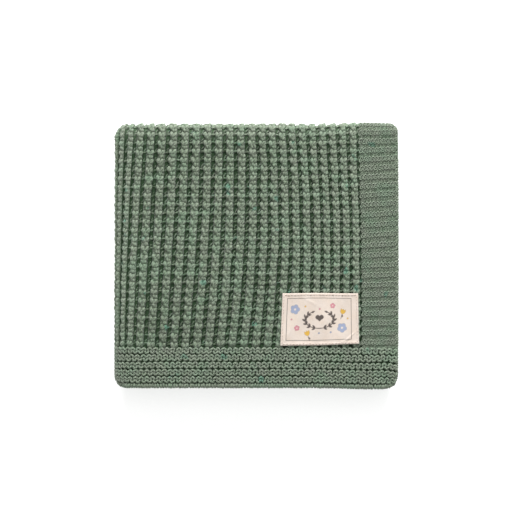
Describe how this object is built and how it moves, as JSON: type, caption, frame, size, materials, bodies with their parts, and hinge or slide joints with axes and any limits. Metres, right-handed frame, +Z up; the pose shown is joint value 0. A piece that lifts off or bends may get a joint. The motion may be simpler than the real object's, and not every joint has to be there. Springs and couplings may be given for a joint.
{
  "type": "knitted baby blanket",
  "caption": "Thick knitted baby blanket, folded flat into a square stack, with a ribbed field, ridged borders and a small sewn-on cloth label.",
  "frame": {"origin": "centre of the underside's bounding box, on the surface that the folded blanket lies on", "axes": "+Z up out of the pile of layers, +X towards the free ends on the right, -Y towards the free bottom border"},
  "size_m": [0.3021, 0.2821, 0.055],
  "materials": {
    "knit": "chunky matt cotton yarn, sage green",
    "label_cloth": "plain woven cotton, cream"
  },
  "bodies": {
    "root": {"blanket": "knit", "label": "label_cloth"}
  },
  "joints": []
}
